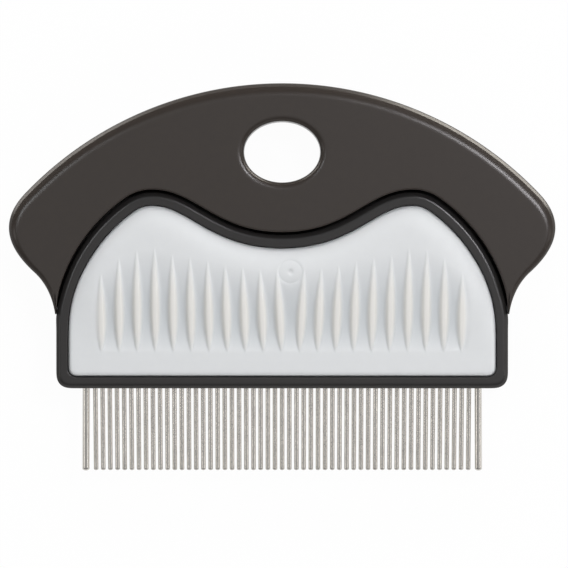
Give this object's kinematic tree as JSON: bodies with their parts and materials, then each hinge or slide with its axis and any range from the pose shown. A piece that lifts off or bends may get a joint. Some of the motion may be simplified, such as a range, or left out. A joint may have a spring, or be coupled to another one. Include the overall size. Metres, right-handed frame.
{
  "type": "fine-tooth grooming comb",
  "caption": "Palm-held pet grooming comb: a crescent handle with an oval hang hole, a plate of fine straight steel teeth, and a ribbed pale grip pad on each face.",
  "frame": {"origin": "on the surface that the comb lies on, under the middle of its bounding box", "axes": "+X along the row of teeth to the right seen from the front, +Y from the tooth tips towards the top of the handle's arch, +Z out of the front face"},
  "size_m": [0.1, 0.071, 0.0104],
  "materials": {
    "handle_plastic": "satin moulded",
    "carrier_plastic": "satin moulded",
    "pad_rubber": "matt soft-touch",
    "tooth_steel": "drawn and polished"
  },
  "bodies": {
    "root": {"handle": "handle_plastic", "tooth_carrier": "carrier_plastic", "front_pad": "pad_rubber", "rear_pad": "pad_rubber", "fine_tooth_01": "tooth_steel", "fine_tooth_02": "tooth_steel", "fine_tooth_03": "tooth_steel", "fine_tooth_04": "tooth_steel", "fine_tooth_05": "tooth_steel", "fine_tooth_06": "tooth_steel", "fine_tooth_07": "tooth_steel", "fine_tooth_08": "tooth_steel", "fine_tooth_09": "tooth_steel", "fine_tooth_10": "tooth_steel", "fine_tooth_11": "tooth_steel", "fine_tooth_12": "tooth_steel", "fine_tooth_13": "tooth_steel", "fine_tooth_14": "tooth_steel", "fine_tooth_15": "tooth_steel", "fine_tooth_16": "tooth_steel", "fine_tooth_17": "tooth_steel", "fine_tooth_18": "tooth_steel", "fine_tooth_19": "tooth_steel", "fine_tooth_20": "tooth_steel", "fine_tooth_21": "tooth_steel", "fine_tooth_22": "tooth_steel", "fine_tooth_23": "tooth_steel", "fine_tooth_24": "tooth_steel", "fine_tooth_25": "tooth_steel", "fine_tooth_26": "tooth_steel", "fine_tooth_27": "tooth_steel", "fine_tooth_28": "tooth_steel", "fine_tooth_29": "tooth_steel", "fine_tooth_30": "tooth_steel", "fine_tooth_31": "tooth_steel", "fine_tooth_32": "tooth_steel", "fine_tooth_33": "tooth_steel", "fine_tooth_34": "tooth_steel", "fine_tooth_35": "tooth_steel", "fine_tooth_36": "tooth_steel", "fine_tooth_37": "tooth_steel", "fine_tooth_38": "tooth_steel", "fine_tooth_39": "tooth_steel", "fine_tooth_40": "tooth_steel", "fine_tooth_41": "tooth_steel", "fine_tooth_42": "tooth_steel", "fine_tooth_43": "tooth_steel", "fine_tooth_44": "tooth_steel", "fine_tooth_45": "tooth_steel", "fine_tooth_46": "tooth_steel", "fine_tooth_47": "tooth_steel", "fine_tooth_48": "tooth_steel", "fine_tooth_49": "tooth_steel", "fine_tooth_50": "tooth_steel", "fine_tooth_51": "tooth_steel", "fine_tooth_52": "tooth_steel", "fine_tooth_53": "tooth_steel", "guard_tooth_left": "tooth_steel", "guard_tooth_right": "tooth_steel"}
  },
  "joints": []
}
